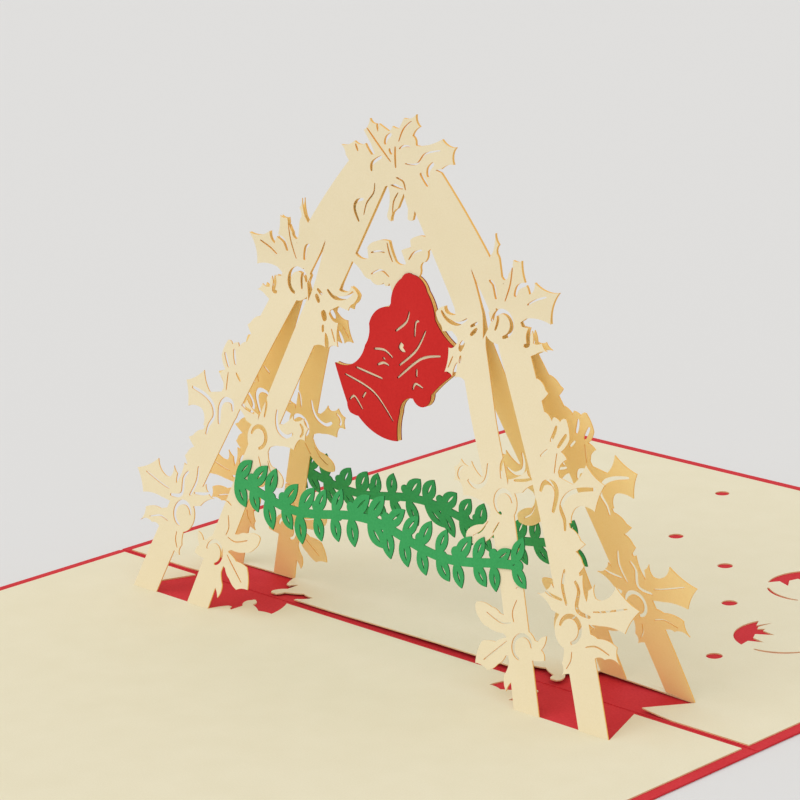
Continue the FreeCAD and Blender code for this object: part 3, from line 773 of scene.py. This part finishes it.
def bell_outline():
    corners = [
        (5.2, 86.7, 0.9), (9.6, 83.4, 0.5), (12.2, 77.4, -0.6), (18.6, 72.4, 0), (17.6, 71.5, -0.2),
        (16.5, 71.2, 0.3), (15.8, 66.0, 0), (18.2, 66.2, -0.3), (10.6, 60.0, 0.5), (8.8, 57.0, 0.8),
        (5.0, 58.2, -1.3), (0.6, 54.0, -0.4), (-0.2, 47.3, 1.4), (-12.6, 51.0, 0.1), (-15.2, 51.4, 0.3),
        (-16.2, 53.6, 0.1), (-20.0, 62.4, -2.3), (-10.0, 68.2, -0.6), (-8.6, 73.4, 1.3), (-2.2, 78.2, 0),
        (-1.6, 79.2, 0.9), (1.8, 85.4, 0.7)]
    return bowed([(x + BELL_X, z, bow) for x, z, bow in corners])


BELL_LINES = [
    [(4.2, 78.2), (3.2, 75.6), (-0.2, 73.0)],
    [(7.3, 76.4), (6.2, 75.9), (5.8, 72.6)],
    [(9.3, 74.6), (6.2, 69.6), (0.8, 65.2)],
    [(13.8, 69.5), (7.6, 67.8), (0.2, 62.2)],
    [(-7.2, 67.8), (-3.8, 68.0), (-1.2, 66.6)],
    [(-6.2, 64.2), (-4.2, 65.0), (-2.4, 64.6)],
    [(-13.2, 62.5), (-4.6, 61.2)],
    [(-16.8, 60.3), (-7.6, 57.6), (-1.4, 51.8)],
    [(-15.4, 54.4), (-13.8, 55.5), (-11.2, 52.8)],
    [(-11.2, 55.6), (-10.0, 57.2)],
    [(-4.4, 66.2), (-3.6, 65.8)],
    [(6.3, 65.4), (6.2, 63.4)],
    [(4.9, 60.2), (5.8, 61.8), (8.2, 61.2)],
]
BELL_EYE = [(1.4, 70.8), (2.4, 70.2), (2.1, 69.6), (2.9, 68.7), (1.6, 68.5), (0.6, 69.4)]


def bell_sheet():
    sheet = Sheet().keep(bell_outline()).crease(*BEND_CREASES)
    for line in BELL_LINES:
        sheet.cut(stroke([(x + BELL_X, z) for x, z in line], BELL_CUT_WIDTH, ends=0.6))
    return sheet.cut(curve([(x + BELL_X, z) for x, z in BELL_EYE + BELL_EYE[:1]])[:-1])


def add_bridge(sheet, low=-1000.0, high=1000.0):
    """Leaves between the bands and the bell's core below them."""
    bridge = bowed([(x + BELL_X, z, bow) for x, z, bow in [
        (-14.0, 90.2, -1.2), (-8.8, 88.4, 0), (-9.1, 90.8, 0.3), (-6.4, 92.6, 0.3), (-2.2, 93.2, -0.2),
        (-0.2, 88.8, -0.5), (3.0, 88.8, 0), (1.6, 91.6, 0.2), (4.6, 92.6, 0), (4.4, 94.4, 0.3),
        (8.0, 95.8, -0.3), (13.8, 96.4, 0.2), (9.8, 92.6, 0.4), (8.8, 90.0, -0.4), (7.4, 88.6, 0.5),
        (6.4, 86.0, 0), (6.0, 82.0, 0), (-1.4, 79.6, -0.4), (-2.4, 83.6, 0.8), (-4.2, 83.4, 0.9),
        (-8.4, 83.6, 0.4), (-11.0, 84.8, -0.6), (-16.6, 87.4, 0)]])
    sheet.keep(bell_outline(), bridge, low=low, high=high)
    for points in (
            [(-8.0, 89.8), (-5.4, 90.5), (-3.6, 90.4)],
            [(-2.8, 92.8), (-2.2, 90.6), (-1.2, 88.6)],
            [(-8.2, 84.8), (-5.0, 86.2), (-2.4, 85.0)],
            [(3.8, 89.8), (5.4, 91.6), (8.0, 92.6)]):
        sheet.cut(stroke([(x + BELL_X, z) for x, z in points], BRIDGE_CUT_WIDTH))


def core_sheet():
    """Bell's core, which hangs down from the seam."""
    sheet = Sheet(SEAM).crease(*BEND_CREASES)
    add_bridge(sheet, high=SEAM)
    return sheet


# Garland: lengths in millimetres, the leaf angle in degrees, the sway and the berry's turn in radians
GARLAND = {"Reach": 44.5, "Height": 29.4, "Wave": 1.6, "Vine Width": 2.0, "Thickness": PAPER,
           "Leaf Pairs": 17, "Leaf Length": 7.0, "Leaf Width": 3.6, "Slit Width": 0.45,
           "Berry Radius": 1.2, "Seed": 7}
GARLAND_WAVES = 1.85
GARLAND_LEAF_ANGLE = 56
GARLAND_SWAY = 0.3
GARLAND_GROWTH = (0.85, 1.15)
VINE_STEP = 0.6
BERRY_SIDES = 20
BERRY_OFFSET = (1.2, 1.5)
BERRY_TURN = 0.8
GARLAND_SHIFT = -0.6
GARLAND_SLOPE = -0.02

# Where a leaf's slit begins and ends, as shares of the leaf
SLIT_SPAN = (0.36, 0.8)


class Form(Tree):
    """Geometry tree with named inputs for its sizes."""

    def __init__(self, name, **sizes):
        self.group = bpy.data.node_groups.new(name, "GeometryNodeTree")
        super().__init__(self.group)
        self.keys = {}
        for label, value in sizes.items():
            kind = "NodeSocketInt" if isinstance(value, int) else "NodeSocketFloat"
            socket = self.group.interface.new_socket(label, in_out="INPUT", socket_type=kind)
            self.keys[label] = socket.identifier
        self.group.interface.new_socket("Mesh", in_out="OUTPUT", socket_type="NodeSocketGeometry")
        self.sizes = sizes
        self.given = self.nodes.new("NodeGroupInput")

    def size(self, label):
        return Value(self, self.given.outputs[label])

    def point(self, x, y, z):
        return self.node("ShaderNodeCombineXYZ", [x, y, z])

    def moved(self, mesh, rule):
        """The same geometry with each point moved by a rule for x, y and z."""
        spot = self.node("ShaderNodeSeparateXYZ", [self.node("GeometryNodeInputPosition")])
        place = self.point(*rule(spot["X"], spot["Y"], spot["Z"]))
        return self.node("GeometryNodeSetPosition", {"Geometry": mesh, "Position": place})

    def mesh(self, result):
        """Plain mesh of the tree's result, its inputs set by their identifiers."""
        end = self.nodes.new("NodeGroupOutput")
        self.links.new(result.socket, end.inputs[0])
        holder = bpy.data.objects.new("form", bpy.data.meshes.new("form"))
        bpy.context.scene.collection.objects.link(holder)
        modifier = holder.modifiers.new("form", "NODES")
        modifier.node_group = self.group
        for label, key in self.keys.items():
            modifier[key] = self.sizes[label]
        evaluated = holder.evaluated_get(bpy.context.evaluated_depsgraph_get())
        made = bpy.data.meshes.new_from_object(evaluated)
        holder.modifiers.remove(modifier)
        bpy.data.objects.remove(holder)
        return made


def garland_form():
    """Leafy vine, drawn flat in millimetres: leaves in pairs along a wave, with berries between."""
    form = Form("garland", **GARLAND)
    reach, thick = form.size("Reach"), form.size("Thickness")

    def wave(x):
        return form.size("Height") + form.size("Wave") * (x / reach * (GARLAND_WAVES * math.pi)).cosine()

    def plate(sides, radius):
        """Round plate as thick as the paper."""
        return form.node("GeometryNodeMeshCylinder",
                         {"Vertices": sides, "Radius": radius, "Depth": thick}, fill_type="NGON")

    def varied(low, high, seed):
        return form.node("FunctionNodeRandomValue",
                         {2: low, 3: high, "Seed": form.size("Seed") + seed}, out=1)

    line = form.node("GeometryNodeCurvePrimitiveLine",
                     {"Start": form.point(reach * -1, 0, 0), "End": form.point(reach, 0, 0)})
    fine = form.node("GeometryNodeResampleCurve", {"Curve": line, "Length": VINE_STEP}, mode="LENGTH")
    vine = form.moved(fine, lambda x, y, z: (x, wave(x), thick * 0.5))
    section = form.node("GeometryNodeCurvePrimitiveQuadrilateral",
                        {"Width": form.size("Vine Width"), "Height": thick})
    stem = form.node("GeometryNodeCurveToMesh",
                     {"Curve": form.node("GeometryNodeSetCurveNormal", {"Curve": vine}, mode="Z_UP"),
                      "Profile Curve": section, "Fill Caps": True})

    def blade(start, end, width):
        """Pointed blade along x, with straight walls."""
        return form.moved(plate(DISC_SIDES, 1.0), lambda x, y, z: (
            (x + 1) * 0.5 * (end - start) + start, y * abs(y) * width * 0.5, z + thick * 0.5))

    length = form.size("Leaf Length")
    leaf = blade(0.0, length, form.size("Leaf Width"))
    slit = form.moved(blade(length * SLIT_SPAN[0], length * SLIT_SPAN[1], form.size("Slit Width")),
                      lambda x, y, z: (x, y, z * 3 - thick))
    leaf = form.node("GeometryNodeMeshBoolean", {"Mesh 1": leaf, "Mesh 2": slit},
                     operation="DIFFERENCE", solver="EXACT", out="Mesh")
    stations = form.node("GeometryNodeResampleCurve", {"Curve": vine, "Count": form.size("Leaf Pairs")},
                         mode="COUNT")
    roots = form.moved(form.node("GeometryNodeCurveToPoints", {"Curve": stations}, mode="EVALUATED"),
                       lambda x, y, z: (x, y, z * 0))
    turn = form.node("GeometryNodeInputIndex") % 2 * 2 - 1
    pieces = [stem]
    for side in (1, -1):
        angle = varied(-GARLAND_SWAY, GARLAND_SWAY, side) + side * math.radians(GARLAND_LEAF_ANGLE)
        growth = varied(*GARLAND_GROWTH, 3 * side)
        pieces.append(form.node("GeometryNodeInstanceOnPoints",
                                {"Points": roots, "Instance": leaf, "Rotation": form.point(0, 0, angle),
                                 "Scale": form.point(growth, growth, 1)}))
    berry = form.moved(plate(BERRY_SIDES, form.size("Berry Radius")), lambda x, y, z: (
        x + BERRY_OFFSET[0], y + BERRY_OFFSET[1], z + thick * 0.5))
    pieces.append(form.node("GeometryNodeInstanceOnPoints",
                            {"Points": roots, "Instance": berry,
                             "Rotation": form.point(0, 0, turn * BERRY_TURN)}))
    whole = form.nodes.new("GeometryNodeJoinGeometry")
    for piece in pieces:
        form.links.new(piece.socket, whole.inputs[0])
    loose = form.node("GeometryNodeRealizeInstances", [Value(form, whole.outputs[0])])
    joined = form.node("GeometryNodeMeshBoolean", {"Mesh 2": loose, "Self Intersection": True},
                       operation="UNION", solver="EXACT", out="Mesh")
    # Upright walls take the darker green: painted shade on the cut edges
    normal = form.node("ShaderNodeSeparateXYZ", [form.node("GeometryNodeInputNormal")])
    upright = abs(normal["Z"]).below(0.5)
    green = form.node("GeometryNodeSetMaterial", {"Geometry": joined, "Material": GREEN.material})
    edged = form.node("GeometryNodeSetMaterial",
                      {"Geometry": green, "Selection": upright, "Material": GREEN_EDGE_PAINTED_SHADE.material})
    return form.mesh(form.node("GeometryNodeRealizeInstances", [edged]))


# Lines where the page bends as it comes off the cover, back from the spine
PAGE_CREASES = (4.0, 8.0, 13.0, 16.0, 19.0, 22.0, 26.0, 30.0)
SPINE_STEPS = 48


def page_sheet(side):
    """Page of one half with the openings at the feet, seen from above, its spine at zero."""
    half, far = CARD_LENGTH / 2 - SIDE_MARGIN, HALF_DEPTH - OUTER_MARGIN
    setback = SETBACK[side]
    spine = [(x, SPINE_GAP / 2) for x in steps(-half, half, 2 * half / SPINE_STEPS)]
    spine.append((half, SPINE_GAP / 2))
    sheet = Sheet().keep(spine + [(half, far), (-half, far)])
    sheet.crease(*PAGE_CREASES, reach=88.0, step=4.0)
    wave = [(0, 0, 0.2), (2.1, 4.5, 0), (3.2, 4.7, -0.3), (4.7, 3.0, 0), (4.8, 6.7, 0.3),
            (3.0, 9.1, 0.3), (3.4, 10.8, 0.6), (4.6, 11.2, 0.5), (6.0, 8.8, 0.2), (10.4, 6.6, 0.3),
            (14.3, 7.2, -0.4), (12.0, setback - 1.9, 0), (10.8, setback, 0)]
    corners = [(INNER_FOOT[0] - inwards, setback - back, bow) for inwards, back, bow in wave]
    corners += [(OUTER_FOOT[1] - NOTCH_TAPER, 0, 0), (OUTER_FOOT[1], setback, 0)]
    opening = bowed(corners)
    for outline in (opening, mirrored(opening)):
        sheet.cut([(x + ARCH_SHIFT, y) for x, y in outline])
    return sheet


DOT_RADIUS = 1.9
DOTS = ((-16.1, 133.5), (-2.1, 98.0), (21.9, 88.0), (39.9, 67.5), (59.9, 37.5))
BAUBLE_RADIUS = 11.4
BAUBLES = (((63.4, 58.0), 0), ((47.6, 90.2), -45))


def bauble(sheet, centre, turn):
    """Bauble cut out of the page: a torn cap as radii and angles, and a line opposite."""
    rays = [(0.78, -117), (0.56, -95), (0.62, -128), (0.57, -149), (0.18, -151), (0.49, -176),
            (0.53, 171), (0.65, -178), (0.71, 173), (0.78, 144), (0.80, 171)]
    rim = [polar(centre, BAUBLE_RADIUS, 158 + turn + 94 * i / 24) for i in range(25)]
    sheet.cut(rim + [polar(centre, BAUBLE_RADIUS * share, angle + turn) for share, angle in rays])
    line = [polar(centre, BAUBLE_RADIUS * 0.99, turn - 88 + 60 * i / 6) for i in range(7)]
    sheet.cut(stroke(line, 0.9))


# A leaf's finishes by slot: three for its arch, two for its page, one for the core behind the bell. The
# arch's inside and cut-edge finishes carry painted shade, and the core's finish carries painted light
LEAF_FINISHES = (CREAM, CREAM_INSIDE_PAINTED_SHADE, CREAM_EDGE_PAINTED_SHADE, PAGE, PAGE_EDGE, CREAM_CORE_PAINTED_LIGHT)
PAGE_FACE, PAGE_CUT, CORE_PAINTED_LIGHT_FACE = range(3, 6)
BEHIND_BELL = 7.2


def leaf(side):
    """One cream sheet: its page, its arch and its half of the bell's core."""
    back = side == "back"
    sign = 1 if back else -1
    page = page_sheet(side)
    if back:
        for dot in DOTS:
            page.cut(disc(dot, DOT_RADIUS))
        for centre, turn in BAUBLES:
            bauble(page, centre, turn)

    def lying(height):
        return lambda x, y: (x, sign * y, height + (lift(x, y) if back else 0))

    # Outer faces of the core well below the seam, behind the bell, take the lighter cream: painted light
    # in the slits through the bell
    def core_painted_light_slot(face, part):
        low = max(hung[i][2] for i in face) < SEAM + PAGE_TOP - BEHIND_BELL
        return CORE_PAINTED_LIGHT_FACE if part == OUTSIDE and low else part

    arch = arch_sheet().folded(on_wall(side, 0), on_wall(side, PAPER), turned=back)
    hung, faces, parts = core_sheet().folded(hanging(side, 0), hanging(side, PAPER), turned=back)
    core = hung, faces, [core_painted_light_slot(face, part) for face, part in zip(faces, parts)]
    flat, faces, parts = page.folded(lying(COVER), lying(PAGE_TOP), turned=not back)
    lower = flat, faces, [PAGE_CUT if part == CUT_EDGE else PAGE_FACE for part in parts]
    solid(f"{side}_leaf_paper", f"{side}_leaf", LEAF_FINISHES, [arch, core, lower])


def bell(side):
    """Red facing on one side of the core."""
    faces = bell_sheet().folded(hanging(side, PAPER), hanging(side, 2 * PAPER), turned=side == "back")
    # Cut edges take the darker red: painted shade
    solid(f"{side}_bell_paper", f"{side}_bell", (RED, RED, RED_EDGE_PAINTED_SHADE), [faces])


def garland(side):
    """Vine, bent with the legs that it is glued to."""
    mesh = garland_form()
    for vertex in mesh.vertices:
        x, z, out = vertex.co
        vertex.co = Vector(on_wall(side, PAPER + out)(x + GARLAND_SHIFT, z + GARLAND_SLOPE * x)) * MM
    if side == "back":
        mesh.flip_normals()
    placed(mesh, f"{side}_garland_vine", f"{side}_garland")


# Stage and light, in metres

FLOOR_REACH = 8.0
FLOOR_HEIGHT = -0.0001
FLOOR_COLOUR = linear(224, 224, 224)
SKY_COLOUR = (1, 0.99, 0.975, 1)
SKY_STRENGTH = 0.84
SUN_COLOUR = (1, 0.985, 0.95)
SUN_STRENGTH = 0.6
SUN_SPREAD = 50
SUN_FROM = Vector((-0.25, -0.72, 0.9))


def floor():
    finish = Finish("studio_floor")
    finish.set(Base_Color=FLOOR_COLOUR, Roughness=0.9)
    mesh = bpy.data.meshes.new("floor")
    corners = [(x * FLOOR_REACH, y * FLOOR_REACH, 0) for x, y in ((-1, -1), (1, -1), (1, 1), (-1, 1))]
    mesh.from_pydata(corners, [], [(0, 1, 2, 3)])
    mesh.materials.append(finish.material)
    plane = bpy.data.objects.new("floor", mesh)
    plane.location.z = FLOOR_HEIGHT
    bpy.context.scene.collection.objects.link(plane)


def light():
    world = bpy.data.worlds.new("studio")
    bpy.context.scene.world = world
    world.use_nodes = True
    background = world.node_tree.nodes["Background"]
    background.inputs["Color"].default_value = SKY_COLOUR
    background.inputs["Strength"].default_value = SKY_STRENGTH
    data = bpy.data.lights.new("window", "SUN")
    data.energy = SUN_STRENGTH
    data.angle = math.radians(SUN_SPREAD)
    data.color = SUN_COLOUR
    lamp = bpy.data.objects.new("window", data)
    lamp.rotation_euler = SUN_FROM.to_track_quat("Z", "Y").to_euler()
    bpy.context.scene.collection.objects.link(lamp)


place_camera()
for side in ("front", "back"):
    leaf(side)
    bell(side)
    garland(side)
cover_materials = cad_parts["cover"].data.materials
cover_materials.clear()
cover_materials.append(RED_CARD.material)
floor()
light()
bpy.context.scene.view_settings.view_transform = "Standard"
